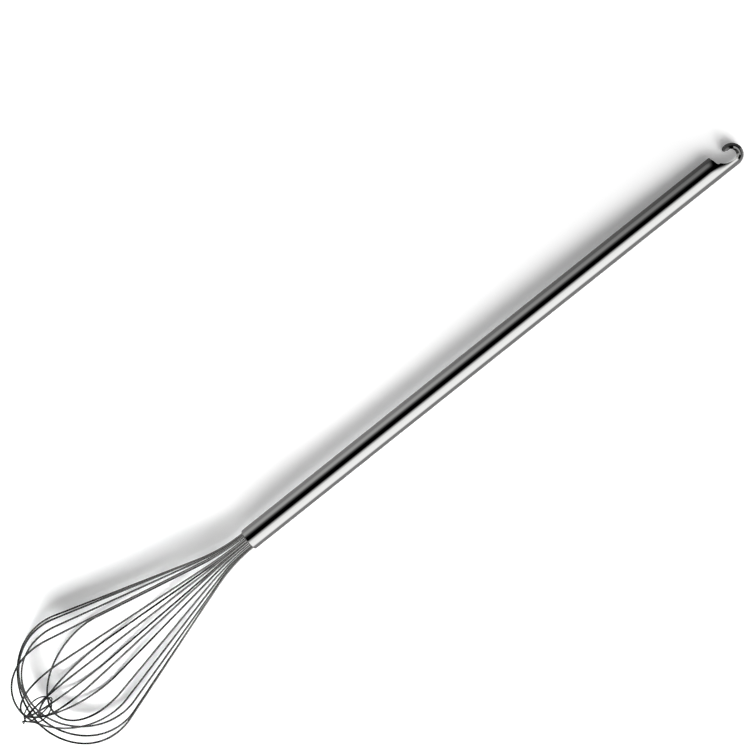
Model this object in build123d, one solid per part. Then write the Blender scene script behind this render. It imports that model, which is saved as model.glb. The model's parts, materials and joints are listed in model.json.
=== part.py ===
from build123d import *
import math
import os

# Long balloon whisk: a polished tube handle with a hook bent from its own wall, eight
# wire loops nested at the tip, and one tie wire that lashes their crossing.
# Lengths are in millimetres and angles in degrees. The whisk is built along its axis,
# with the tube's mouth at x = 0, the hook towards +X and the wires towards -X, and is
# then laid down on the surface that it rests on.

# Handle tube
HANDLE_LENGTH = 675.0       # mouth to the outside of the hook
TUBE_DIAMETER = 25.0
TUBE_WALL = 1.0
LIP_BEND_RADIUS = 2.0       # outside radius of the edge that is rolled in at the mouth

# Hook, a tongue of the tube's wall bent round on itself
HOOK_BOWL_RADIUS = 6.4      # inside of the bend, seen along its axis
HOOK_TURN_ANGLE = 208.0     # tongue's root to the end of its tip
SCOOP_RADIUS = 21.3         # round cut that leaves the tongue standing

# Wire loops
WIRE_DIAMETER = 2.2
WIRE_GRIP_LENGTH = 56.0     # straight wire held inside the handle
CAGE_REACH = 316.0          # mouth to the crossing of the outermost loop
CAGE_RADIUS = 73.0          # axis to the wire's centre at the widest place
SHOULDER_RADIUS = 63.5
FLARE_SHARE = 0.6           # radius of the gentle bend outside the mouth, of the cage's reach
NOSE_HALF_ANGLE = 45.0      # where the shoulder's arc hands over to the nose's arc
NEST_GAP = 0.35             # between two wires where they cross at the tip
CAGE_LEAN_ANGLE = 0.5       # lean of the wires towards -Y, about the mouth's centre

# Each loop: the angle of its plane about the axis, how many wires it lies inside the
# outermost loop at the tip, and its width as a share of the cage's width
LOOP_ANGLES = (38.0, 66.0, 170.0, 82.0, 6.0, 22.0, 98.0, 124.0)
LOOP_NEST_COUNTS = (0, 1, 2, 3, 4, 5.5, 6.5, 11.5)
LOOP_WIDTH_SHARES = (1.0, 1.0, 1.01, 1.0, 0.97, 0.93, 1.0, 0.96)

# Sealing plug that holds the wires in the mouth
PLUG_RECESS = 2.2           # mouth to the plug's face, just inside the lip's bend
PLUG_FLOOR = 6.2            # plug beyond the wires' ends
FIT_CLEARANCE = 0.05        # plug, cap and wires, each all round

# Cap that closes the tube before the hook
CAP_DEPTH = 7.0
CAP_WALL = 0.8
CAP_CORNER_RADIUS = 1.6
CAP_SETBACK = 9.0           # cap's face before the start of the scoop

# Tie wire
TIE_DIAMETER = 1.6
TIE_GAP = 0.45              # between two strands of the tie
TIE_SLACK = 1.1             # between the tie and the nested wires, in line with the axis
TIE_HALF_WIDTH = 13.0       # axis to the tie's centre beside the crossing wires
TIE_SIDESTEP = 3.1          # axis to the tie where its first turn passes into the second
TIE_TURN_ANGLES = (147.0, 109.5)   # planes of the two turns, each in a wide space
TAIL_LENGTH = 3.2
TAIL_QUARTER_TURNS = 2
SAMPLES_PER_DIAMETER = 8    # points per wire diameter when the tie's gap to itself is measured

# Sizes worked out from those above
tube_radius = TUBE_DIAMETER / 2
bore_radius = tube_radius - TUBE_WALL
lip_bore_radius = tube_radius - LIP_BEND_RADIUS
wire_radius = WIRE_DIAMETER / 2
wire_ring_radius = lip_bore_radius - FIT_CLEARANCE - wire_radius
flare_radius = CAGE_REACH * FLARE_SHARE
cage_lean = Rot(0, 0, CAGE_LEAN_ANGLE)
nest_pitch = WIRE_DIAMETER + NEST_GAP
hook_centre_x = HANDLE_LENGTH - tube_radius
scoop_centre_y = SCOOP_RADIUS - HOOK_BOWL_RADIUS
scoop_half_length = math.sqrt(SCOOP_RADIUS**2 - (scoop_centre_y - tube_radius) ** 2)


def around_axis(x, radius, angle):
    """Point at a distance from the whisk's axis, angle 0 towards +Y and 90 towards +Z."""
    turn = math.radians(angle)
    return Vector(x, radius * math.cos(turn), radius * math.sin(turn))


def plan_point(radius, angle):
    """Point of a plan outline, angle 0 towards +X and 90 towards +Y."""
    turn = math.radians(angle)
    return (radius * math.cos(turn), radius * math.sin(turn))


def make_tube():
    """Tube wall turned round the axis, with the mouth's edge rolled in."""
    bend_centre = (LIP_BEND_RADIUS, lip_bore_radius)
    outline = [
        Line((TUBE_WALL, lip_bore_radius), (0, lip_bore_radius)),
        CenterArc(bend_centre, LIP_BEND_RADIUS, 180, -90),
        Line((LIP_BEND_RADIUS, tube_radius), (hook_centre_x, tube_radius)),
        Line((hook_centre_x, tube_radius), (hook_centre_x, bore_radius)),
        Line((hook_centre_x, bore_radius), (LIP_BEND_RADIUS, bore_radius)),
        CenterArc(bend_centre, LIP_BEND_RADIUS - TUBE_WALL, 90, 90),
    ]
    return revolve(make_face(outline), Axis.X)


def make_hook():
    """Bent tongue: the tube's wall swung round a centre on the axis, so part of a ball."""
    shell = Sphere(tube_radius) - Sphere(bore_radius) - Cylinder(HOOK_BOWL_RADIUS, TUBE_DIAMETER)
    tip_radius = (tube_radius - HOOK_BOWL_RADIUS) / 2
    tip_path_radius = (tube_radius + HOOK_BOWL_RADIUS) / 2
    tip_angle = HOOK_TURN_ANGLE - math.degrees(math.asin(tip_radius / tip_path_radius)) - 90
    band = [
        CenterArc((0, 0), tube_radius, -90, tip_angle + 90),
        Line(plan_point(tube_radius, tip_angle), plan_point(HOOK_BOWL_RADIUS, tip_angle)),
        CenterArc((0, 0), HOOK_BOWL_RADIUS, tip_angle, -90 - tip_angle),
        Line(plan_point(HOOK_BOWL_RADIUS, -90), plan_point(tube_radius, -90)),
    ]
    plan = make_face(band) + Pos(plan_point(tip_path_radius, tip_angle)) * Circle(tip_radius)
    bend = shell & Pos(0, 0, -tube_radius) * extrude(plan, TUBE_DIAMETER)
    return Pos(hook_centre_x, 0, 0) * bend


def make_handle():
    """Tube and hook in one piece, as they are cut and bent from one tube."""
    scoop = Pos(hook_centre_x, scoop_centre_y, 0) * Cylinder(SCOOP_RADIUS, TUBE_DIAMETER)
    return make_tube() - scoop + make_hook()


def loop_reach(nest_count):
    """Mouth to the wire's centre where the loop crosses the axis."""
    return CAGE_REACH - nest_count * nest_pitch


def shoulder_place(reach, width_share):
    """Distance from the mouth and from the axis to the centre of a loop's shoulder arc."""
    height = CAGE_RADIUS * width_share - SHOULDER_RADIUS
    half_angle = math.radians(NOSE_HALF_ANGLE)
    nose_radius = SHOULDER_RADIUS + height / math.sin(half_angle)
    return reach - nose_radius + height / math.tan(half_angle), height, nose_radius


def flank_angle(shoulder_reach, shoulder_height):
    """Slope of the straight flank that touches the flare's arc and the shoulder's arc."""
    rise = shoulder_height - wire_ring_radius - flare_radius
    centres_apart = math.hypot(shoulder_reach, rise)
    lean = math.atan2(rise, shoulder_reach)
    return math.degrees(lean + math.asin((SHOULDER_RADIUS + flare_radius) / centres_apart))


def loop_path(nest_count, width_share):
    """Centre line of a loop in its own plane: x runs out from the mouth, y across."""
    reach = loop_reach(nest_count)
    shoulder_reach, height, nose_radius = shoulder_place(reach, width_share)
    slope = flank_angle(shoulder_reach, height)
    swing = 90 + slope - NOSE_HALF_ANGLE
    flare_height = wire_ring_radius + flare_radius
    nose_centre = (reach - nose_radius, 0)
    flare = CenterArc((0, flare_height), flare_radius, -90, slope)
    shoulder = CenterArc((shoulder_reach, height), SHOULDER_RADIUS, 90 + slope, -swing)
    nose = CenterArc(nose_centre, nose_radius, NOSE_HALF_ANGLE, -2 * NOSE_HALF_ANGLE)
    far_shoulder = CenterArc((shoulder_reach, -height), SHOULDER_RADIUS, -NOSE_HALF_ANGLE, -swing)
    far_flare = CenterArc((0, -flare_height), flare_radius, 90 - slope, slope)
    return Wire(
        [
            Line((-WIRE_GRIP_LENGTH, wire_ring_radius), (0, wire_ring_radius)),
            flare,
            Line(flare @ 1, shoulder @ 0),
            shoulder,
            nose,
            far_shoulder,
            Line(far_shoulder @ 1, far_flare @ 0),
            far_flare,
            Line((0, -wire_ring_radius), (-WIRE_GRIP_LENGTH, -wire_ring_radius)),
        ]
    )


def make_loop(angle, nest_count, width_share):
    """One wire loop, bent in a plane that holds the cage's axis."""
    turn = math.radians(angle)
    plane = Plane(origin=(0, 0, 0), x_dir=(-1, 0, 0), z_dir=(0, math.sin(turn), -math.cos(turn)))
    path = cage_lean * (plane * loop_path(nest_count, width_share))
    return sweep(Plane(origin=path @ 0, z_dir=path % 0) * Circle(wire_radius), path)


def make_plug():
    """Sealing plug cast into the mouth, with a blind hole for each wire end."""
    length = WIRE_GRIP_LENGTH + PLUG_FLOOR - PLUG_RECESS
    body = Cylinder(bore_radius - FIT_CLEARANCE, length, rotation=(0, 90, 0))
    plug = Pos(PLUG_RECESS + length / 2, 0, 0) * body
    hole_length = WIRE_GRIP_LENGTH + FIT_CLEARANCE
    hole = Cylinder(wire_radius + FIT_CLEARANCE, 2 * hole_length, rotation=(0, 90, 0))
    ends = [angle + half for angle in LOOP_ANGLES for half in (0, 180)]
    places = [Pos(around_axis(0, wire_ring_radius, angle)) for angle in ends]
    return plug - [cage_lean * place * hole for place in places]


def make_cap():
    """Pressed cap inside the tube, open side towards the mouth."""
    radius = bore_radius - FIT_CLEARANCE
    face_x = hook_centre_x - scoop_half_length - CAP_SETBACK
    cup = Cylinder(radius, CAP_DEPTH)
    cup = fillet(cup.edges().filter_by(GeomType.CIRCLE).sort_by(Axis.Z)[-1], CAP_CORNER_RADIUS)
    hollow = Pos(0, 0, -CAP_WALL) * Cylinder(radius - CAP_WALL, CAP_DEPTH)
    rim = hollow.edges().filter_by(GeomType.CIRCLE).sort_by(Axis.Z)[-1]
    hollow = fillet(rim, CAP_CORNER_RADIUS - CAP_WALL)
    return Pos(face_x - CAP_DEPTH / 2, 0, 0) * Rot(0, 90, 0) * (cup - hollow)


def biarc(start, start_way, end, end_way):
    """Two arcs that leave one point and reach another in the given directions."""
    span = end - start
    span_square = span.dot(span)
    advance = span.dot(start_way + end_way)
    bend = 2 * (1 - start_way.dot(end_way))
    reach = span_square / (advance + math.sqrt(advance**2 + bend * span_square))
    near = start + start_way * reach
    far = end - end_way * reach
    middle = (near + far) / 2
    return [
        Edge.make_tangent_arc(start, start_way, middle),
        Edge.make_tangent_arc(middle, (far - near).normalized(), end),
    ]


def tail_stations(start_x, first_angle):
    """Places and directions up one strand of the twisted tail, a quarter turn apart."""
    strand_radius = (TIE_DIAMETER + TIE_GAP) / 2
    quarter_rise = TAIL_LENGTH / TAIL_QUARTER_TURNS
    quarter_arc = strand_radius * math.pi / 2
    stations = []
    for count in range(TAIL_QUARTER_TURNS + 1):
        angle = first_angle + 90 * count
        place = around_axis(start_x - quarter_rise * count, strand_radius, angle)
        way = Vector(-quarter_rise, 0, 0) + around_axis(0, quarter_arc, angle + 90)
        stations.append((place, way.normalized()))
    return stations


def tie_stations():
    """Places and directions along the tie wire, from one end of its tail to the other."""
    first, second = TIE_TURN_ANGLES
    stack = TIE_DIAMETER + TIE_GAP
    hold = wire_radius + TIE_DIAMETER / 2 + TIE_SLACK
    outer_x = -CAGE_REACH - hold
    inner_x = -loop_reach(max(LOOP_NEST_COUNTS)) + hold
    side_x = (outer_x + inner_x) / 2
    outward = Vector(-1, 0, 0)
    inward = Vector(1, 0, 0)
    middle = (first + second) / 2
    body = [
        (around_axis(side_x, TIE_HALF_WIDTH, first), inward),
        (around_axis(inner_x, 0, first), around_axis(0, 1, first + 180)),
        (around_axis(side_x, TIE_HALF_WIDTH, first + 180), outward),
        (around_axis(outer_x, TIE_SIDESTEP, middle - 90), around_axis(0, 1, middle)),
        (around_axis(side_x, TIE_HALF_WIDTH, second), inward),
        (around_axis(inner_x + stack, 0, second), around_axis(0, 1, second + 180)),
        (around_axis(side_x, TIE_HALF_WIDTH, second + 180), outward),
    ]
    start = tail_stations(outer_x - stack, middle + 90)
    end = tail_stations(outer_x - stack, middle - 90)
    return [(place, -way) for place, way in reversed(start)] + body + end


def make_tie_path():
    """Unbroken centre line of the tie wire."""
    stations = tie_stations()
    edges = []
    for (start, start_way), (end, end_way) in zip(stations, stations[1:]):
        edges += biarc(start, start_way, end, end_way)
    return cage_lean * Wire(edges)


def least_self_gap(path, diameter):
    """Smallest clear space between parts of one wire that lie well apart along it."""
    count = int(path.length / diameter * SAMPLES_PER_DIAMETER)
    apart = int(math.pi * SAMPLES_PER_DIAMETER)
    points = [path @ (index / count) for index in range(count + 1)]
    gaps = [
        (points[first] - points[second]).length - diameter
        for first in range(count + 1)
        for second in range(first + apart, count + 1)
    ]
    return min(gaps)


def make_tie(path):
    """Tie wire: two crossed turns round the nested loops and a twisted tail."""
    return sweep(Plane(origin=path @ 0, z_dir=path % 0) * Circle(TIE_DIAMETER / 2), path)


def resting_tilt():
    """Angle between the axis and the surface under the cage and the scooped tube's end."""
    tube_end_x = hook_centre_x - math.sqrt(SCOOP_RADIUS**2 - scoop_centre_y**2)
    tilts = []
    for angle, count, share in zip(LOOP_ANGLES, LOOP_NEST_COUNTS, LOOP_WIDTH_SHARES):
        steepness = math.sin(math.radians(angle))
        shoulder_reach, height, _ = shoulder_place(loop_reach(count), share)
        run = shoulder_reach + tube_end_x
        drop = height * steepness - tube_radius
        bulge = SHOULDER_RADIUS * steepness + wire_radius
        tilts.append(math.atan2(drop, run) + math.asin(bulge / math.hypot(run, drop)))
    return math.degrees(max(tilts))


def lay_down(pieces, tilt):
    """Tilt the whisk on to its surface and put the origin under the middle of its box."""
    laid = {name: Rot(0, tilt, 0) * piece for name, piece in pieces.items()}
    box = Compound(list(laid.values())).bounding_box()
    to_origin = Pos(-box.center().X, -box.center().Y, -box.min.Z)
    return {name: to_origin * piece for name, piece in laid.items()}


if __name__ == "__main__":
    os.makedirs("parts", exist_ok=True)
    tie_path = make_tie_path()
    whisk = {
        "handle_tube": make_handle(),
        "seal_plug": make_plug(),
        "end_cap": make_cap(),
        "tie_wire": make_tie(tie_path),
    }
    loops = zip(LOOP_ANGLES, LOOP_NEST_COUNTS, LOOP_WIDTH_SHARES)
    for number, (angle, count, share) in enumerate(loops, start=1):
        whisk[f"wire_loop_{number}"] = make_loop(angle, count, share)
    print(f"tie wire: least gap to itself {least_self_gap(tie_path, TIE_DIAMETER):.2f} mm")
    tilt = resting_tilt()
    print(f"resting tilt {tilt:.2f} degrees")
    for name, piece in lay_down(whisk, tilt).items():
        export_step(piece, f"parts/{name}.step")
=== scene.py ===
"""Long balloon whisk: polished tube handle with a hook, wire cage and tie wire, and its studio.

The pieces are modelled along the whisk's axis, with the handle's mouth at x = 0, the hook
towards +X and the wires towards -X, and are then laid down where the frame's model lies.
Lengths are in metres and angles in radians.
"""

import json
import math

import bmesh
import bpy
from bpy.props import FloatProperty, FloatVectorProperty, IntProperty, PointerProperty
from mathutils import Matrix, Vector


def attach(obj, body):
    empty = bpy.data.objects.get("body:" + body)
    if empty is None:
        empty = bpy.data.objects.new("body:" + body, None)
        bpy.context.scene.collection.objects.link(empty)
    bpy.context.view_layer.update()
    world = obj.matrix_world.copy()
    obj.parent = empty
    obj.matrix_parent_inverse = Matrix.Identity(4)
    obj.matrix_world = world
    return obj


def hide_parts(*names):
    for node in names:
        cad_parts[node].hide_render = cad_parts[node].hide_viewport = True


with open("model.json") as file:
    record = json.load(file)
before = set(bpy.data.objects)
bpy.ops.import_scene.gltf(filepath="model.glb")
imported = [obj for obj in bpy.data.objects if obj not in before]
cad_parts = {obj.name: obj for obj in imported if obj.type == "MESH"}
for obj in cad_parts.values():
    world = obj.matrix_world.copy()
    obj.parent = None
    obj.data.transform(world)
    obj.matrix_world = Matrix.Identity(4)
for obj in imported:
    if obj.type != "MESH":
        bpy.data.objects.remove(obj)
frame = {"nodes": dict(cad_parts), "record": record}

bl_info = {
    "name": "Balloon whisk",
    "version": (1, 0, 0),
    "blender": (4, 5, 0),
    "location": "View3D > Sidebar > Whisk",
    "description": "Builds a long balloon whisk, its finishes and a small studio round it",
    "category": "Add Mesh",
}

MERGE_DISTANCE = 1e-6
ALONG = Vector((1, 0, 0))
UP = Vector((0, 0, 1))
AXIS_CENTRE = Vector((0, 0, 0))
WHITE = (1, 1, 1, 1)
BLACK = (0, 0, 0, 1)

# Faces that meet at a smaller angle are shaded as one surface
SMOOTH_ANGLE = math.radians(35)

# Least cosine between a face's normal and the way that the face is said to look
FACING = 0.99

# Hook's centre to the last ring on the whole part of the wall, as a share of the scoop's radius
WHOLE_WALL_SHARE = 1.4

# Height of the scoop's round cutter, and thickness, length and height of the block that cuts
# the hook's tip, as shares of the tube's diameter
SCOOP_HEIGHT_SHARE = 1.5
TIP_BLOCK_SHARES = (0.45, 0.75, 1.5)

# Width of the camera's sensor in millimetres, and how far the camera sees in metres
SENSOR_WIDTH = 36.0
VIEW_DEPTH = 50.0

# Each loop: the angle of its plane about the axis in degrees, how many wires it lies inside
# the outermost loop at the tip, and its width as a share of the cage's width
LOOPS = (
    ("wire_loop_1", 38.0, 0, 1.0),
    ("wire_loop_2", 66.0, 1, 1.0),
    ("wire_loop_3", 170.0, 2, 1.01),
    ("wire_loop_4", 82.0, 3, 1.0),
    ("wire_loop_5", 6.0, 4, 0.97),
    ("wire_loop_6", 22.0, 5.5, 0.93),
    ("wire_loop_7", 98.0, 6.5, 1.0),
    ("wire_loop_8", 124.0, 11.5, 0.96),
)

# The tent's brightness round the whisk, in degrees from +Y over the top to -Y
TENT_SHADES = (
    (0, 0.26),
    (16, 0.36),
    (32, 0.35),
    (49, 0.07),
    (62, 0.0),
    (92, 0.0),
    (102, 0.35),
    (114, 0.88),
    (150, 1.0),
    (168, 0.9),
    (178, 0.3),
)


# Sizes and colours


def length(name, description, default):
    """A length that the sidebar shows."""
    return FloatProperty(
        name=name, description=description, default=default, min=0.0, precision=5, unit="LENGTH"
    )


def angle(name, description, degrees):
    """An angle that the sidebar shows in degrees."""
    return FloatProperty(
        name=name, description=description, default=math.radians(degrees), unit="ROTATION"
    )


def count(name, description, default):
    """A number of sides or steps that the sidebar shows."""
    return IntProperty(name=name, description=description, default=default, min=2)


def colour(name, description, default):
    """A colour that the sidebar shows as a swatch."""
    return FloatVectorProperty(
        name=name,
        description=description,
        default=default,
        size=4,
        min=0.0,
        max=1.0,
        subtype="COLOR",
    )


def factor(name, description, default):
    """A share from 0 to 1 that the sidebar shows as a slider."""
    return FloatProperty(
        name=name, description=description, default=default, min=0.0, max=1.0, subtype="FACTOR"
    )


class WHISK_PG_handle(bpy.types.PropertyGroup):
    """Sizes of the handle tube and its hook"""

    tube_length: length("Length", "Mouth to the outside of the hook", 0.675)
    tube_diameter: length("Diameter", "Outside of the tube", 0.025)
    wall: length("Wall", "Thickness of the tube's wall", 0.001)
    lip_radius: length("Lip radius", "Outside radius of the edge rolled in at the mouth", 0.002)
    bowl_radius: length("Hook bowl radius", "Inside of the hook's bend", 0.0064)
    hook_turn: angle("Hook turn", "From the tongue's root to the end of its tip", 208.0)
    scoop_radius: length("Scoop radius", "Round cut that leaves the tongue standing", 0.0213)
    edge_radius: length("Edge radius", "Rounding of the cut edges", 0.00018)
    edge_angle: angle("Edge angle", "Least turn between two faces whose edge is rounded", 50.0)
    sides: count("Sides", "Sides round the tube", 128)
    scoop_sides: count("Scoop sides", "Sides of the round cut beside the tongue", 256)
    tip_sides: count("Tip sides", "Sides of the round cut at the tongue's tip", 96)
    lip_steps: count("Lip steps", "Rings in each bend of the rolled lip", 10)
    hook_step: angle("Hook step", "Bend between two rings of the hook", 2.5)


class WHISK_PG_cage(bpy.types.PropertyGroup):
    """Sizes of the wire loops"""

    wire_diameter: length("Wire diameter", "Thickness of a loop's wire", 0.0022)
    grip_length: length("Grip length", "Straight wire held inside the handle", 0.056)
    ring_radius: length("Ring radius", "Axis to the wires' centres at the mouth", 0.00935)
    reach: length("Reach", "Mouth to the crossing of the outermost loop", 0.316)
    radius: length("Cage radius", "Axis to the wire's centre at the widest place", 0.073)
    shoulder_radius: length("Shoulder radius", "Bend at the cage's widest place", 0.0635)
    flare_radius: length("Flare radius", "Gentle bend just outside the mouth", 0.1896)
    nose_half_angle: angle("Nose half angle", "Where the shoulder hands over to the nose", 45.0)
    nest_gap: length("Nest gap", "Between two wires where they cross at the tip", 0.00035)
    lean: angle("Lean", "Lean of the wires towards -Y about the mouth's centre", 0.5)
    sides: count("Sides", "Sides round a wire", 20)
    step: angle("Step", "Bend between two rings of a wire", 2.0)


class WHISK_PG_tie(bpy.types.PropertyGroup):
    """Sizes of the wire that lashes the loops at the tip"""

    wire_diameter: length("Wire diameter", "Thickness of the tie wire", 0.0016)
    gap: length("Gap", "Between two strands of the tie", 0.00045)
    slack: length("Slack", "Between the tie and the nested wires along the axis", 0.0011)
    half_width: length("Half width", "Axis to the tie beside the crossing wires", 0.013)
    sidestep: length("Sidestep", "Axis to the tie where one turn passes into the next", 0.0031)
    first_turn: angle("First turn", "Plane of the first turn about the axis", 147.0)
    second_turn: angle("Second turn", "Plane of the second turn about the axis", 109.5)
    tail_length: length("Tail length", "Length of the twisted tail", 0.0032)
    tail_quarters: count("Tail quarter turns", "Quarter turns of the twisted tail", 2)
    sides: count("Sides", "Sides round the tie wire", 16)
    step: angle("Step", "Bend between two rings of the tie wire", 10.0)


class WHISK_PG_finish(bpy.types.PropertyGroup):
    """Colours and gloss of the pieces"""

    tube_colour: colour("Tube", "Polished steel of the handle", (0.80, 0.80, 0.79, 1.0))
    tube_roughness: factor("Tube roughness", "Roughness of the polished handle", 0.07)
    # Painted shade: the wires' colour goes from the first colour at the mouth to the darker second
    # colour towards the tip, over a share of the cage's reach; the film share mixes in random
    # cloudy patches
    wire_colour: colour("Wires", "Drawn steel of the loops at the mouth", (0.60, 0.60, 0.59, 1.0))
    painted_tip_shade_colour: colour("Worn wires", "Dulled steel towards the tip", (0.25, 0.25, 0.243, 1.0))
    painted_shade_reach_share: factor("Wear share", "Share of the cage's reach over which wires grow dull", 0.75)
    film_share: factor("Film share", "Share of the wear that comes in cloudy patches", 0.20)
    wire_roughness: factor("Wire roughness", "Roughness of the loops' wire", 0.22)
    tie_colour: colour("Tie", "Darker steel of the tie wire", (0.03, 0.03, 0.029, 1.0))
    tie_roughness: factor("Tie roughness", "Roughness of the tie wire", 0.36)
    plug_colour: colour("Plug", "Resin that holds the wires", (0.17, 0.17, 0.165, 1.0))
    cap_colour: colour("Cap", "Pressed steel of the end cap", (0.50, 0.50, 0.49, 1.0))


class WHISK_PG_stage(bpy.types.PropertyGroup):
    """Floor, lamps, what the steel reflects, and camera"""

    floor_size: length("Floor size", "Side of the square floor", 12.0)
    floor_colour: colour("Floor", "Pale floor", (0.90, 0.90, 0.90, 1.0))
    floor_lift: factor("Floor lift", "White added to the floor for the eye", 0.22)
    plain_radius: length("Plain radius", "Floor round the middle with no more white added", 0.44)
    white_radius: length("White radius", "Where the floor is plain white for the eye", 0.70)
    room_level: factor("Room level", "Even light from the room", 0.10)
    lamp_count: count("Lamps", "Lamps in the row along the whisk", 8)
    lamp_spacing: length("Lamp spacing", "From one lamp to the next along X", 0.22)
    lamp_distance: length("Lamp distance", "Lamp to the floor under the whisk", 1.1)
    lit_width: length("Lit width", "Floor that a lamp lights across the whisk", 2.0)
    lamp_power: FloatProperty(
        name="Lamp power", description="Power of one lamp in watts", default=1.40, min=0.0
    )
    handle_shadow: length("Handle shadow", "From the handle's axis to its shadow's middle", 0.020)
    cage_shadow: length("Cage shadow", "From the wires' axis to their shadow's middle", 0.012)
    handle_blur: length("Handle blur", "Softness of the handle's shadow to each side", 0.016)
    cage_blur: length("Cage blur", "Softness of the wires' shadow to each side", 0.009)
    lamp_least_height: length("Least height", "Least height that a lamp's lean goes by", 0.022)
    flag_length: length("Flag length", "Card that deepens the shadow beside the wires", 0.240)
    flag_width: length("Flag width", "Width of that card", 0.032)
    flag_height: length("Flag height", "Card above the floor", 0.20)
    flag_place: length("Flag place", "Mouth to the card's middle, towards the tip", 0.132)
    flag_side: length("Flag side", "Axis to the card's middle, towards +Y", 0.009)
    flag_turn: angle("Flag turn", "Turn of the card against the axis", 15.7)
    tent_radius: length("Tent radius", "Radius of the tent that the steel reflects", 0.60)
    tent_sides: count("Tent sides", "Sides round the tent", 96)
    tent_length: length("Tent length", "Length of the tent and of the mat", 3.0)
    tent_half_length: length("Tent half length", "Middle to where the tent darkens", 0.58)
    mat_half_length: length("Mat half length", "Middle to where the mat darkens", 0.48)
    mat_height: length("Mat height", "Mat above the floor", 0.0001)
    fade_length: length("Fade length", "How far the tent and the mat take to turn black", 0.14)
    far_length: length("Far length", "Middle to where the tent turns grey again", 1.10)
    far_level: factor("Far level", "Brightness of the tent's and the mat's far ends", 0.36)
    tent_level: FloatProperty(
        name="Tent level", description="Brightness of the tent's white cloth", default=1.12, min=0.0
    )
    hook_dim: FloatProperty(
        name="Hook dim", description="How much the tent darkens towards the hook", default=1.8
    )
    mat_level: factor("Mat level", "Brightness of the mat that the steel reflects", 0.24)
    mat_dim: FloatProperty(
        name="Mat dim", description="How much the mat darkens towards the hook", default=1.5
    )
    lens: FloatProperty(
        name="Lens", description="Focal length in millimetres", default=90.96, min=1.0
    )
    camera_distance: length("Camera distance", "Camera to the point it looks at", 2.047)
    view_place: length("View place", "Point on the axis, measured from the mouth", 0.221)
    view_rise: length("View rise", "Picture's centre above the axis", 0.0523)
    view_lean: angle("View lean", "Lean of the camera towards the hook", 5.0)
    view_roll: angle("View roll", "Lean of the camera about the axis", 2.0)
    picture_turn: angle("Picture turn", "Slope of the whisk in the picture", 38.69)


# Place of the whisk in the frame


def mount(name):
    """One of the record's interfaces."""
    return next(entry for entry in frame["record"]["mounts"] if entry["name"] == name)


def hook_x(handle):
    """Distance from the mouth to the hook's centre."""
    return handle.tube_length - handle.tube_diameter / 2


def resting_place(handle):
    """Matrix from the whisk's own axis, with the mouth at its origin, to the frame."""
    along = Vector(mount("handle")["axis"]).normalized()
    across = Vector((0, 1, 0))
    hook_centre = Vector(mount("hook")["pos_m"])
    mouth = hook_centre - along * hook_x(handle)
    turn = Matrix((along, across, along.cross(across))).transposed()
    return Matrix.Translation(mouth) @ turn.to_4x4()


def cage_place(scene):
    """Matrix from the wires' own axis, which leans a little off the handle's, to the frame."""
    lean = Matrix.Rotation(scene.whisk_cage.lean, 4, "Z")
    return resting_place(scene.whisk_handle) @ lean


def around_axis(x, radius, turn):
    """Point at a distance from the whisk's axis, turn 0 towards +Y and a quarter towards +Z."""
    return Vector((x, radius * math.cos(turn), radius * math.sin(turn)))


# Modelling


def clear_selection():
    """Leave edit mode with nothing selected."""
    if bpy.context.object and bpy.context.object.mode != "OBJECT":
        bpy.ops.object.mode_set(mode="OBJECT")
    bpy.ops.object.select_all(action="DESELECT")


def take(piece):
    """Leave edit mode with one piece selected and active."""
    clear_selection()
    bpy.context.view_layer.objects.active = piece
    piece.select_set(True)


def start_ring(radius, sides, place, way):
    """Ring of edges square to a direction, selected in edit mode."""
    clear_selection()
    bpy.ops.mesh.primitive_circle_add(
        vertices=sides,
        radius=radius,
        location=place,
        rotation=way.to_track_quat("Z", "Y").to_euler(),
    )
    bpy.ops.object.transform_apply(location=True, rotation=True, scale=True)
    bpy.ops.object.mode_set(mode="EDIT")
    bpy.ops.mesh.select_all(action="SELECT")
    return bpy.context.object


def pull(offset):
    """Extrude what is selected along a straight line."""
    bpy.ops.mesh.extrude_region_move(TRANSFORM_OT_translate={"value": offset})


def swing(turn, centre, axis, step):
    """Extrude what is selected round an axis, by the right-hand rule."""
    steps = math.ceil(abs(turn) / step)
    bpy.ops.mesh.spin(steps=steps, angle=-turn, center=centre, axis=axis)


def widen(ratio):
    """Widen the selected ring about the whisk's axis."""
    bpy.ops.transform.resize(value=(1, ratio, ratio), center_override=AXIS_CENTRE)


def select_faces(test):
    """Select the faces that pass a test on their centre and normal."""
    mesh = bpy.context.object.data
    bpy.ops.mesh.select_all(action="DESELECT")
    bpy.context.tool_settings.mesh_select_mode = (False, False, True)
    shape = bmesh.from_edit_mesh(mesh)
    for face in shape.faces:
        face.select_set(test(face.calc_center_median(), face.normal))
    bmesh.update_edit_mesh(mesh)


def close_ends():
    """Fill the open ends of a tube of wire."""
    bpy.ops.mesh.select_all(action="DESELECT")
    bpy.context.tool_settings.mesh_select_mode = (True, False, False)
    bpy.ops.mesh.select_non_manifold()
    bpy.ops.mesh.edge_face_add()


def face_outwards():
    """Merge doubles and turn all faces outwards."""
    bpy.ops.mesh.select_all(action="SELECT")
    bpy.ops.mesh.remove_doubles(threshold=MERGE_DISTANCE)
    bpy.ops.mesh.normals_make_consistent(inside=False)


def cut(piece, cutter):
    """Take a cutter's shape out of a piece, and remove the cutter."""
    take(piece)
    boolean = piece.modifiers.new("Cut", "BOOLEAN")
    boolean.operation = "DIFFERENCE"
    boolean.solver = "EXACT"
    boolean.object = cutter
    bpy.ops.object.modifier_apply(modifier=boolean.name)
    bpy.data.objects.remove(cutter)


def finish_piece(piece, name, node, material, place):
    """Name, lay down, smooth and dress a piece that stands for a node of the frame."""
    take(piece)
    piece.name = name
    piece.data.name = name
    piece.matrix_world = place
    bpy.ops.object.transform_apply(location=True, rotation=True, scale=True)
    bpy.ops.object.shade_smooth_by_angle(angle=SMOOTH_ANGLE)
    piece.data.materials.clear()
    piece.data.materials.append(material)
    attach(piece, "root")
    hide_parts(node)


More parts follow.
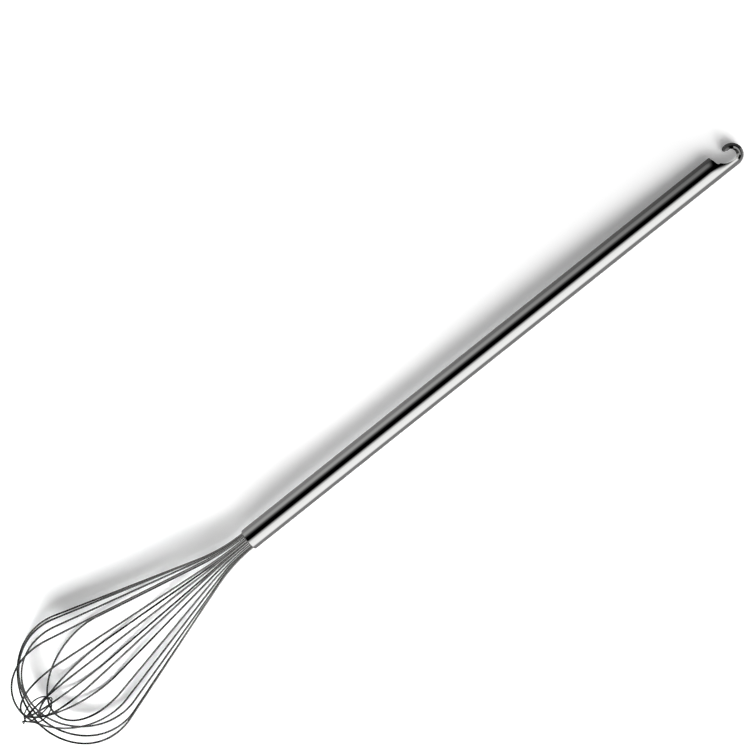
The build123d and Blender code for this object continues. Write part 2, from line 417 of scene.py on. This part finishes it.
def lay_sheet(size_x, size_y, place, turn=0.0):
    """Flat sheet, level with the floor."""
    clear_selection()
    bpy.ops.mesh.primitive_plane_add(size=1.0, location=place, rotation=(0, 0, turn))
    sheet = bpy.context.object
    sheet.scale = (size_x, size_y, 1.0)
    bpy.ops.object.transform_apply(location=True, rotation=True, scale=True)
    return sheet


# Finishes


class Value:
    """Socket of a shader node, with the arithmetic that the finishes use."""

    def __init__(self, finish, socket):
        self.finish = finish
        self.socket = socket

    def __add__(self, other):
        return self.finish.maths("ADD", self, other)

    def __radd__(self, other):
        return self.finish.maths("ADD", other, self)

    def __sub__(self, other):
        return self.finish.maths("SUBTRACT", self, other)

    def __rsub__(self, other):
        return self.finish.maths("SUBTRACT", other, self)

    def __mul__(self, other):
        return self.finish.maths("MULTIPLY", self, other)

    def __rmul__(self, other):
        return self.finish.maths("MULTIPLY", other, self)


class Finish:
    """Nodes of a material or of the world, added and linked by name."""

    def __init__(self, owner):
        owner.use_nodes = True
        owner.node_tree.nodes.clear()
        self.owner = owner
        self.tree = owner.node_tree

    def node(self, kind, settings=None, inputs=None, output=0):
        """Add a node: first its settings or ramp stops, then its sockets' values or links."""
        node = self.tree.nodes.new(kind)
        for name, value in (settings or {}).items():
            if name == "stops":
                self.set_stops(node.color_ramp.elements, value)
            else:
                setattr(node, name, value)
        for name, value in (inputs or {}).items():
            if isinstance(value, Value):
                self.tree.links.new(value.socket, node.inputs[name])
            else:
                node.inputs[name].default_value = value
        return Value(self, node.outputs[output]) if node.outputs else None

    @staticmethod
    def set_stops(elements, stops):
        """Places and colours of a ramp's stops."""
        while len(elements) < len(stops):
            elements.new(1.0)
        for element, (place, shade) in zip(elements, stops):
            element.position = place
            element.color = shade

    def maths(self, operation, first, second):
        """Math node on two numbers or links."""
        return self.node("ShaderNodeMath", {"operation": operation}, {0: first, 1: second})

    def blend(self, share, first, second):
        """Colour between two colours."""
        return self.node(
            "ShaderNodeMix",
            {"data_type": "RGBA"},
            {"Factor": share, "A": first, "B": second},
            output="Result",
        )

    def mottle(self, mask, shade, dark_share):
        """A colour, dimmed to a share of itself where a mask is 0."""
        dark = tuple(channel * dark_share for channel in shade[:3]) + (1.0,)
        return self.blend(mask, dark, tuple(shade))

    def fade(self, distance, span, levels):
        """One level up to the start of a span, passing smoothly to another at its end."""
        return self.node(
            "ShaderNodeMapRange",
            {"interpolation_type": "SMOOTHSTEP"},
            {
                "Value": distance,
                "From Min": span[0],
                "From Max": span[1],
                "To Min": levels[0],
                "To Max": levels[1],
            },
        )

    def place(self):
        """The point on the object."""
        return self.node("ShaderNodeTexCoord", output="Object")

    def place_parts(self):
        """The point's x, y and z."""
        parts = self.node("ShaderNodeSeparateXYZ", None, {0: self.place()}).socket.node.outputs
        return [Value(self, part) for part in parts]

    def noise(self, stretch, size, detail):
        """Noise on the point, drawn out along the whisk's axis."""
        along = Vector(mount("handle")["axis"])
        lean = math.atan2(along.z, along.x)
        turned = self.node(
            "ShaderNodeMapping",
            {"vector_type": "TEXTURE"},
            {"Vector": self.place(), "Rotation": (0, -lean, 0)},
        )
        drawn = self.node(
            "ShaderNodeVectorMath",
            {"operation": "MULTIPLY"},
            {0: turned, 1: (1 / stretch, 1, 1)},
        )
        return self.node(
            "ShaderNodeTexNoise", None, {"Vector": drawn, "Scale": 1 / size, "Detail": detail}
        )

    def surface(self, shade, roughness, relief, depth, metallic=1.0):
        """Surface with a fine relief, and the material's output."""
        normal = self.node("ShaderNodeBump", None, {"Height": relief, "Distance": depth})
        surface = self.node(
            "ShaderNodeBsdfPrincipled",
            None,
            {"Base Color": shade, "Metallic": metallic, "Roughness": roughness, "Normal": normal},
        )
        self.node("ShaderNodeOutputMaterial", None, {"Surface": surface})
        return self.owner


def new_finish(name):
    """Empty material for a finish."""
    return Finish(bpy.data.materials.new(name))


def between(mask, least, most):
    """Number from the least, where a mask is 0, to the most, where it is 1."""
    return least + mask * (most - least)


def polished_tube(finish):
    """Mirror-polished steel with faint wiping haze and fine polishing lines round the tube."""
    steel = new_finish("polished_tube_steel")
    haze = steel.noise(stretch=3.0, size=0.030, detail=3.0)
    lines = steel.noise(stretch=0.02, size=0.006, detail=2.0)
    shade = steel.mottle(haze, finish.tube_colour, dark_share=0.94)
    roughness = between(haze, least=0.6, most=1.4) * finish.tube_roughness
    return steel.surface(shade, roughness, relief=lines, depth=0.000002)


def drawn_wire(finish, mouth_x, reach):
    """Drawn wire with fine lines along it and random cloudy film, with painted shade that darkens
    it from the mouth towards the tip.
    """
    steel = new_finish("drawn_wire_steel")
    film = steel.noise(stretch=4.0, size=0.012, detail=3.0)
    lines = steel.noise(stretch=30.0, size=0.0003, detail=1.0)
    x = steel.place_parts()[0]
    # Painted shade: the colour darkens from the mouth towards the tip, mixed with random cloudy
    # film
    span = (mouth_x - reach * finish.painted_shade_reach_share, mouth_x)
    painted_shade_and_film = steel.fade(x, span, (1.0 - finish.film_share, 0.0)) + film * finish.film_share
    shade = steel.blend(painted_shade_and_film, tuple(finish.wire_colour), tuple(finish.painted_tip_shade_colour))
    roughness = between(film, least=0.8, most=1.2) * finish.wire_roughness
    return steel.surface(shade, roughness, relief=lines, depth=0.00001)


def soft_wire(finish):
    """Annealed tie wire, darker and duller, with heat tint and handling marks."""
    steel = new_finish("soft_tie_steel")
    tint = steel.noise(stretch=1.0, size=0.004, detail=3.0)
    marks = steel.noise(stretch=1.0, size=0.0006, detail=2.0)
    shade = steel.mottle(tint, finish.tie_colour, dark_share=0.6)
    roughness = between(tint, least=0.75, most=1.25) * finish.tie_roughness
    return steel.surface(shade, roughness, relief=marks, depth=0.00002)


def pressed_cap(finish):
    """Pressed steel sheet of the end cap, satin from the press."""
    steel = new_finish("pressed_cap_steel")
    film = steel.noise(stretch=1.0, size=0.006, detail=3.0)
    grain = steel.noise(stretch=1.0, size=0.0004, detail=1.0)
    shade = steel.mottle(film, finish.cap_colour, dark_share=0.7)
    roughness = between(film, least=0.24, most=0.44)
    return steel.surface(shade, roughness, relief=grain, depth=0.00001)


def cast_resin(finish):
    """Filled resin of the plug, dull and slightly pitted."""
    resin = new_finish("cast_plug_resin")
    cloud = resin.noise(stretch=1.0, size=0.005, detail=4.0)
    pits = resin.noise(stretch=1.0, size=0.0007, detail=2.0)
    shade = resin.mottle(cloud, finish.plug_colour, dark_share=0.6)
    roughness = between(cloud, least=0.5, most=0.75)
    return resin.surface(shade, roughness, relief=pits, depth=0.00008, metallic=0.0)


# Shape of one loop in its own plane


def loop_shape(cage, nest_count, width_share):
    """Centres, radii and turns of a loop's arcs: x runs along the axis, y across."""
    reach = cage.reach - nest_count * (cage.wire_diameter + cage.nest_gap)
    height = cage.radius * width_share - cage.shoulder_radius
    nose_radius = cage.shoulder_radius + height / math.sin(cage.nose_half_angle)
    shoulder_x = nose_radius - reach - height / math.tan(cage.nose_half_angle)
    flare_y = cage.ring_radius + cage.flare_radius
    rise = height - flare_y
    centres_apart = math.hypot(shoulder_x, rise)
    slope = math.atan2(rise, -shoulder_x) + math.asin(
        (cage.shoulder_radius + cage.flare_radius) / centres_apart
    )
    square = Vector((math.sin(slope), math.cos(slope), 0))
    flare_centre = Vector((0, flare_y, 0))
    shoulder_centre = Vector((shoulder_x, height, 0))
    flank_start = flare_centre - square * cage.flare_radius
    flank_end = shoulder_centre + square * cage.shoulder_radius
    return {
        "slope": slope,
        "flare_centre": flare_centre,
        "flank": flank_end - flank_start,
        "shoulder_centre": shoulder_centre,
        "nose_centre": Vector((nose_radius - reach, 0, 0)),
    }


def mirrored(point):
    """The same point on the other side of the axis."""
    return Vector((point.x, -point.y, point.z))


# Arcs of the tie wire


def biarc(start, start_way, end, end_way):
    """Two arcs that leave one point and reach another in the given directions."""
    span = end - start
    span_square = span.dot(span)
    advance = span.dot(start_way + end_way)
    bend = 2 * (1 - start_way.dot(end_way))
    reach = span_square / (advance + math.sqrt(advance**2 + bend * span_square))
    near = start + start_way * reach
    far = end - end_way * reach
    middle = (near + far) / 2
    return ((start, start_way, middle), (middle, (far - near).normalized(), end))


def tail_stations(tie, start_x, first_turn):
    """Places and directions up one strand of the twisted tail, a quarter turn apart."""
    strand_radius = (tie.wire_diameter + tie.gap) / 2
    rise = tie.tail_length / tie.tail_quarters
    stations = []
    for quarter in range(tie.tail_quarters + 1):
        turn = first_turn + quarter * math.pi / 2
        place = around_axis(start_x - rise * quarter, strand_radius, turn)
        way = around_axis(-rise, strand_radius * math.pi / 2, turn + math.pi / 2)
        stations.append((place, way.normalized()))
    return stations


def tie_stations(tie, cage):
    """Places and directions along the tie wire, from one end of its tail to the other."""
    first, second = tie.first_turn, tie.second_turn
    innermost = max(nest_count for _, _, nest_count, _ in LOOPS)
    pitch = cage.wire_diameter + cage.nest_gap
    stack = tie.wire_diameter + tie.gap
    hold = (cage.wire_diameter + tie.wire_diameter) / 2 + tie.slack
    outer_x = -cage.reach - hold
    inner_x = innermost * pitch - cage.reach + hold
    side_x = (outer_x + inner_x) / 2
    middle = (first + second) / 2
    quarter = math.pi / 2
    # Two turns, each into the cage on one side, past the innermost wire and out on the other
    body = [
        (around_axis(side_x, tie.half_width, first), ALONG),
        (around_axis(inner_x, 0, first), around_axis(0, -1, first)),
        (around_axis(side_x, -tie.half_width, first), -ALONG),
        (around_axis(outer_x, tie.sidestep, middle - quarter), around_axis(0, 1, middle)),
        (around_axis(side_x, tie.half_width, second), ALONG),
        (around_axis(inner_x + stack, 0, second), around_axis(0, -1, second)),
        (around_axis(side_x, -tie.half_width, second), -ALONG),
    ]
    start = tail_stations(tie, outer_x - stack, middle + quarter)
    end = tail_stations(tie, outer_x - stack, middle - quarter)
    return [(place, -way) for place, way in reversed(start)] + body + end


# Operators


class WHISK_OT_add_handle(bpy.types.Operator):
    """Add the handle tube with its rolled lip, scooped end and hook"""

    bl_idname = "whisk.add_handle"
    bl_label = "Add handle"

    def execute(self, context):
        handle = context.scene.whisk_handle
        tube = self.make_tube(handle)
        self.cut_scoop(tube, handle)
        self.bend_hook(tube, handle)
        self.round_tip(tube, handle)
        self.ease_edges(tube, handle)
        material = polished_tube(context.scene.whisk_finish)
        finish_piece(tube, "handle", "handle_tube", material, resting_place(handle))
        return {"FINISHED"}

    def make_tube(self, handle):
        """Tube wall drawn ring by ring: round the lip, along the outside and back down the bore."""
        radius = handle.tube_diameter / 2
        bore = radius - handle.wall
        end = hook_x(handle)
        whole_end = end - handle.scoop_radius * WHOLE_WALL_SHARE
        outline = self.lip_bend(handle, handle.lip_radius)
        outline += [(end / 2, radius), (whole_end, radius), (end, radius)]
        outline += [(end, bore), (whole_end, bore), (end / 2, bore)]
        outline += reversed(self.lip_bend(handle, handle.lip_radius - handle.wall))
        x, ring = outline[-1]
        tube = start_ring(ring, handle.sides, (x, 0, 0), ALONG)
        for next_x, next_ring in outline:
            pull((next_x - x, 0, 0))
            widen(next_ring / ring)
            x, ring = next_x, next_ring
        face_outwards()
        return tube

    def lip_bend(self, handle, bend_radius):
        """Places along the axis and radii of the rings in one bend of the lip, edge first."""
        centre_ring = handle.tube_diameter / 2 - handle.lip_radius
        turns = [step / handle.lip_steps * math.pi / 2 for step in range(handle.lip_steps + 1)]
        return [
            (
                handle.lip_radius - bend_radius * math.cos(turn),
                centre_ring + bend_radius * math.sin(turn),
            )
            for turn in turns
        ]

    def cut_scoop(self, tube, handle):
        """Round cut beside the tongue."""
        clear_selection()
        bpy.ops.mesh.primitive_cylinder_add(
            vertices=handle.scoop_sides,
            radius=handle.scoop_radius,
            depth=handle.tube_diameter * SCOOP_HEIGHT_SHARE,
            location=(hook_x(handle), handle.scoop_radius - handle.bowl_radius, 0),
        )
        cut(tube, bpy.context.object)

    def bend_hook(self, tube, handle):
        """Swing the tongue's end round the centre of the hook."""
        end = hook_x(handle)

        def at_end(centre, normal):
            return normal.x > FACING and abs(centre.x - end) < MERGE_DISTANCE

        take(tube)
        bpy.ops.object.mode_set(mode="EDIT")
        select_faces(at_end)
        swing(handle.hook_turn, (end, 0, 0), UP, handle.hook_step)
        face_outwards()

    def round_tip(self, tube, handle):
        """Cut the end of the tongue to a half circle."""
        radius = handle.tube_diameter / 2
        tip_radius = (radius - handle.bowl_radius) / 2
        path_radius = (radius + handle.bowl_radius) / 2
        turn = handle.hook_turn - math.asin(tip_radius / path_radius) - math.pi / 2
        outwards = Vector((math.cos(turn), math.sin(turn), 0))
        onwards = Vector((-math.sin(turn), math.cos(turn), 0))
        tip = ALONG * hook_x(handle) + outwards * path_radius
        block_size = Vector(TIP_BLOCK_SHARES) * handle.tube_diameter
        clear_selection()
        bpy.ops.mesh.primitive_cube_add(
            size=1.0,
            location=tip + onwards * block_size.y / 2,
            rotation=(0, 0, turn),
            scale=block_size,
        )
        block = bpy.context.object
        clear_selection()
        bpy.ops.mesh.primitive_cylinder_add(
            vertices=handle.tip_sides, radius=tip_radius, depth=block_size.z * 2, location=tip
        )
        cut(block, bpy.context.object)
        cut(tube, block)

    def ease_edges(self, tube, handle):
        """Take the sharpness off the cut edges."""
        take(tube)
        bevel = tube.modifiers.new("Ease", "BEVEL")
        bevel.width = handle.edge_radius
        bevel.segments = 2
        bevel.limit_method = "ANGLE"
        bevel.angle_limit = handle.edge_angle
        bpy.ops.object.modifier_apply(modifier=bevel.name)


class WHISK_OT_add_loops(bpy.types.Operator):
    """Add the wire loops of the cage"""

    bl_idname = "whisk.add_loops"
    bl_label = "Add wire loops"

    def execute(self, context):
        cage = context.scene.whisk_cage
        place = cage_place(context.scene)
        material = drawn_wire(context.scene.whisk_finish, place.translation.x, cage.reach)
        for node, degrees, nest_count, width_share in LOOPS:
            loop = self.make_loop(cage, nest_count, width_share)
            turned = place @ Matrix.Rotation(math.radians(degrees), 4, "X")
            finish_piece(loop, node.replace("wire_", ""), node, material, turned)
        return {"FINISHED"}

    def make_loop(self, cage, nest_count, width_share):
        """One loop, drawn from its first end in the handle to its second."""
        shape = loop_shape(cage, nest_count, width_share)
        nose_turn = cage.nose_half_angle * 2
        shoulder_turn = math.pi / 2 + shape["slope"] - cage.nose_half_angle
        start = (cage.grip_length, cage.ring_radius, 0)
        loop = start_ring(cage.wire_diameter / 2, cage.sides, start, ALONG)
        pull((-cage.grip_length, 0, 0))
        swing(-shape["slope"], shape["flare_centre"], UP, cage.step)
        pull(shape["flank"])
        swing(shoulder_turn, shape["shoulder_centre"], UP, cage.step)
        swing(nose_turn, shape["nose_centre"], UP, cage.step)
        swing(shoulder_turn, mirrored(shape["shoulder_centre"]), UP, cage.step)
        pull(-mirrored(shape["flank"]))
        swing(-shape["slope"], mirrored(shape["flare_centre"]), UP, cage.step)
        pull((cage.grip_length, 0, 0))
        close_ends()
        face_outwards()
        return loop


class WHISK_OT_add_tie(bpy.types.Operator):
    """Add the tie wire with its twisted tail"""

    bl_idname = "whisk.add_tie"
    bl_label = "Add tie wire"

    def execute(self, context):
        scene = context.scene
        tie = scene.whisk_tie
        stations = tie_stations(tie, scene.whisk_cage)
        place, way = stations[0]
        wire = start_ring(tie.wire_diameter / 2, tie.sides, place, way)
        for (start, start_way), (end, end_way) in zip(stations, stations[1:]):
            for arc_start, arc_way, arc_end in biarc(start, start_way, end, end_way):
                self.draw_arc(arc_start, arc_way, arc_end, tie.step)
        close_ends()
        face_outwards()
        material = soft_wire(scene.whisk_finish)
        finish_piece(wire, "tie", "tie_wire", material, cage_place(scene))
        return {"FINISHED"}

    def draw_arc(self, start, way, end, step):
        """Swing the wire's ring along an arc that leaves a point in a given direction."""
        chord = end - start
        axis = way.cross(chord).normalized()
        half_turn = way.angle(chord)
        radius = chord.length / (2 * math.sin(half_turn))
        swing(2 * half_turn, start + axis.cross(way) * radius, axis, step)


class WHISK_OT_dress_inner_parts(bpy.types.Operator):
    """Give the plug in the mouth and the cap beside the hook their finishes"""

    bl_idname = "whisk.dress_inner_parts"
    bl_label = "Dress plug and cap"

    def execute(self, context):
        finish = context.scene.whisk_finish
        for node, material in (("seal_plug", cast_resin(finish)), ("end_cap", pressed_cap(finish))):
            for slot in frame["nodes"][node].material_slots:
                slot.material = material
        return {"FINISHED"}


class WHISK_OT_add_stage(bpy.types.Operator):
    """Add the floor, lamps, flag, tent, mat and camera"""

    bl_idname = "whisk.add_stage"
    bl_label = "Add stage"

    def execute(self, context):
        stage = context.scene.whisk_stage
        context.scene.view_settings.view_transform = "Standard"
        self.light_room(context.scene, stage)
        self.add_floor(stage)
        mouth_place = resting_place(context.scene.whisk_handle)
        self.add_lamps(stage, mouth_place)
        self.add_flag(stage, mouth_place.translation)
        self.add_tent(stage)
        self.add_mat(stage)
        self.add_camera(context.scene, stage)
        return {"FINISHED"}

    def seen_mask(self, finish):
        """1 for rays from the camera and for reflections, 0 for the light on the object."""
        rays = "ShaderNodeLightPath"
        camera = finish.node(rays, output="Is Camera Ray")
        glossy = finish.node(rays, output="Is Glossy Ray")
        clear = finish.node(rays, output="Is Transmission Ray")
        return finish.maths("MAXIMUM", finish.maths("MAXIMUM", camera, glossy), clear)

    def light_room(self, scene, stage):
        """White room for the eye, and an even level of light on the object."""
        scene.world = bpy.data.worlds.new("room")
        room = Finish(scene.world)
        strength = between(self.seen_mask(room), least=stage.room_level, most=1.0)
        background = room.node("ShaderNodeBackground", None, {"Color": WHITE, "Strength": strength})
        room.node("ShaderNodeOutputWorld", None, {"Surface": background})

    def add_floor(self, stage):
        """Plain pale floor that the whisk lies on."""
        floor = lay_sheet(stage.floor_size, stage.floor_size, (0, 0, 0))
        floor.name = "floor"
        paint = new_finish("pale_floor")
        distance = paint.node(
            "ShaderNodeVectorMath", {"operation": "LENGTH"}, {0: paint.place()}, output="Value"
        )
        span = (stage.plain_radius, stage.white_radius)
        lift = paint.fade(distance, span, (stage.floor_lift, 1.0))
        glow = paint.blend(self.seen_mask(paint) * lift, BLACK, WHITE)
        surface = paint.node(
            "ShaderNodeBsdfPrincipled",
            None,
            {
                "Base Color": tuple(stage.floor_colour),
                "Roughness": 1.0,
                "Specular IOR Level": 0.0,
                "Emission Color": glow,
                "Emission Strength": 1.0,
            },
        )
        paint.node("ShaderNodeOutputMaterial", None, {"Surface": surface})
        floor.data.materials.append(paint.owner)

    def add_lamps(self, stage, place):
        """Row of lamps with grids, that lean and spread more where the whisk is nearer the floor.

        So the shadow falls towards +Y and keeps its width and softness along the handle.
        """
        mouth = place.translation
        along = place.col[0]
        fall = along.z / along.x
        for number in range(stage.lamp_count):
            x = (number + 0.5 - stage.lamp_count / 2) * stage.lamp_spacing
            height = max(mouth.z + (x - mouth.x) * fall, stage.lamp_least_height)
            if x < mouth.x:
                offset, blur = stage.cage_shadow, stage.cage_blur
            else:
                offset, blur = stage.handle_shadow, stage.handle_blur
            lean = math.atan2(offset, height)
            back = Vector((0, -math.sin(lean), math.cos(lean)))
            clear_selection()
            bpy.ops.object.light_add(
                type="AREA",
                location=ALONG * x + back * stage.lamp_distance,
                rotation=(lean, 0, 0),
            )
            lamp = bpy.context.object
            lamp.name = f"lamp_{number + 1}"
            lamp.data.shape = "RECTANGLE"
            lamp.data.size = stage.lamp_spacing
            lamp.data.size_y = stage.lit_width * math.cos(lean)
            lamp.data.spread = 2 * math.atan2(blur, height)
            lamp.data.energy = stage.lamp_power
            lamp.visible_glossy = False

    def add_flag(self, stage, mouth):
        """Card over the cage, out of sight, that deepens the shadow beside the wires."""
        place = (mouth.x - stage.flag_place, mouth.y + stage.flag_side, stage.flag_height)
        flag = lay_sheet(stage.flag_length, stage.flag_width, place, -stage.flag_turn)
        flag.name = "shadow_flag"
        flag.visible_camera = False
        flag.visible_diffuse = False
        flag.visible_glossy = False
        flag.visible_transmission = False

    def add_tent(self, stage):
        """Light tent round the whisk, with a black strip overhead, seen only in reflections."""
        clear_selection()
        bpy.ops.mesh.primitive_cylinder_add(
            vertices=stage.tent_sides,
            radius=stage.tent_radius,
            depth=stage.tent_length,
            rotation=(0, math.pi / 2, 0),
        )
        bpy.ops.object.transform_apply(location=True, rotation=True, scale=True)
        tent = bpy.context.object
        cloth = new_finish("tent_cloth")
        x, y, z = cloth.place_parts()
        round_tent = cloth.maths("ARCTAN2", z, y) * (1 / math.pi)
        stops = [(degrees / 180, (level, level, level, 1)) for degrees, level in TENT_SHADES]
        shade = cloth.node("ShaderNodeValToRGB", {"stops": stops}, {"Fac": round_tent})
        dim = cloth.maths("MAXIMUM", x, 0.0) * cloth.maths("MAXIMUM", y, 0.0)
        level = shade * stage.tent_level * (1 - dim * stage.hook_dim)
        strength = self.with_ends(stage, cloth, x, level, stage.tent_half_length)
        self.reflect_only(tent, cloth, strength)

    def add_mat(self, stage):
        """Grey mat under the whisk, seen only in reflections."""
        mat = lay_sheet(stage.tent_length, stage.tent_radius * 2, (0, 0, stage.mat_height))
        felt = new_finish("grey_mat")
        x, y, _ = felt.place_parts()
        dim = felt.maths("MAXIMUM", x, 0.0) * felt.maths("GREATER_THAN", y, 0.0)
        level = stage.mat_level * (1 - dim * stage.mat_dim)
        strength = self.with_ends(stage, felt, x, level, stage.mat_half_length)
        self.reflect_only(mat, felt, strength)

    def with_ends(self, stage, finish, x, level, half_length):
        """Brightness that turns black beyond the whisk's ends, and grey far off."""
        distance = finish.maths("ABSOLUTE", x, 0.0)
        black_span = (half_length, half_length + stage.fade_length)
        grey_span = (stage.far_length, stage.far_length + stage.fade_length)
        near = finish.fade(distance, black_span, (1.0, 0.0))
        return level * near + finish.fade(distance, grey_span, (0.0, stage.far_level))

    def reflect_only(self, thing, finish, strength):
        """Give an object a glow that only reflections show."""
        glow = finish.node("ShaderNodeEmission", None, {"Strength": strength})
        finish.node("ShaderNodeOutputMaterial", None, {"Surface": glow})
        thing.name = finish.owner.name
        thing.data.materials.append(finish.owner)
        thing.visible_camera = False
        thing.visible_diffuse = False
        thing.visible_shadow = False
        thing.visible_transmission = False

    def add_camera(self, scene, stage):
        """Camera above the whisk, leaning towards the hook, with the whisk aslant."""
        place = resting_place(scene.whisk_handle)
        roll = Matrix.Rotation(-stage.view_roll, 3, "X")
        back = roll @ Vector((math.sin(stage.view_lean), 0, math.cos(stage.view_lean)))
        right = roll @ Vector((math.cos(stage.view_lean), 0, -math.sin(stage.view_lean)))
        up = back.cross(right)
        aim = Vector((stage.view_place, 0, 0)) + up * stage.view_rise
        slope = stage.picture_turn
        picture_right = right * math.cos(slope) - up * math.sin(slope)
        picture_up = right * math.sin(slope) + up * math.cos(slope)
        turn = Matrix((picture_right, picture_up, back)).transposed().to_4x4()
        clear_selection()
        bpy.ops.object.camera_add()
        camera = bpy.context.object
        camera.name = "camera"
        camera.data.lens = stage.lens
        camera.data.sensor_width = SENSOR_WIDTH
        camera.data.clip_end = VIEW_DEPTH
        camera.matrix_world = place @ Matrix.Translation(aim + back * stage.camera_distance) @ turn
        scene.camera = camera


OPERATORS = (
    WHISK_OT_add_handle,
    WHISK_OT_add_loops,
    WHISK_OT_add_tie,
    WHISK_OT_dress_inner_parts,
    WHISK_OT_add_stage,
)
SETTINGS = {
    "whisk_handle": WHISK_PG_handle,
    "whisk_cage": WHISK_PG_cage,
    "whisk_tie": WHISK_PG_tie,
    "whisk_finish": WHISK_PG_finish,
    "whisk_stage": WHISK_PG_stage,
}


class WHISK_PT_build(bpy.types.Panel):
    """Steps that build the whisk, and the sizes and colours that they use"""

    bl_idname = "WHISK_PT_build"
    bl_label = "Balloon whisk"
    bl_space_type = "VIEW_3D"
    bl_region_type = "UI"
    bl_category = "Whisk"

    def draw(self, context):
        layout = self.layout
        for operator in OPERATORS:
            layout.operator(operator.bl_idname)
        for name, group in SETTINGS.items():
            box = layout.box()
            box.label(text=group.__doc__)
            for setting in group.__annotations__:
                box.prop(getattr(context.scene, name), setting)


def register():
    """Register the classes and hang the settings on the scene."""
    for group in (*SETTINGS.values(), *OPERATORS, WHISK_PT_build):
        bpy.utils.register_class(group)
    for name, group in SETTINGS.items():
        setattr(bpy.types.Scene, name, PointerProperty(type=group))


def unregister():
    """Take the settings off the scene and the classes out of Blender."""
    for name in SETTINGS:
        delattr(bpy.types.Scene, name)
    for group in (WHISK_PT_build, *reversed(OPERATORS), *SETTINGS.values()):
        bpy.utils.unregister_class(group)


def main():
    """Build the whisk and its stage."""
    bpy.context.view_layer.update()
    register()
    bpy.ops.whisk.add_handle()
    bpy.ops.whisk.add_loops()
    bpy.ops.whisk.add_tie()
    bpy.ops.whisk.dress_inner_parts()
    bpy.ops.whisk.add_stage()


if __name__ == "__main__":
    main()
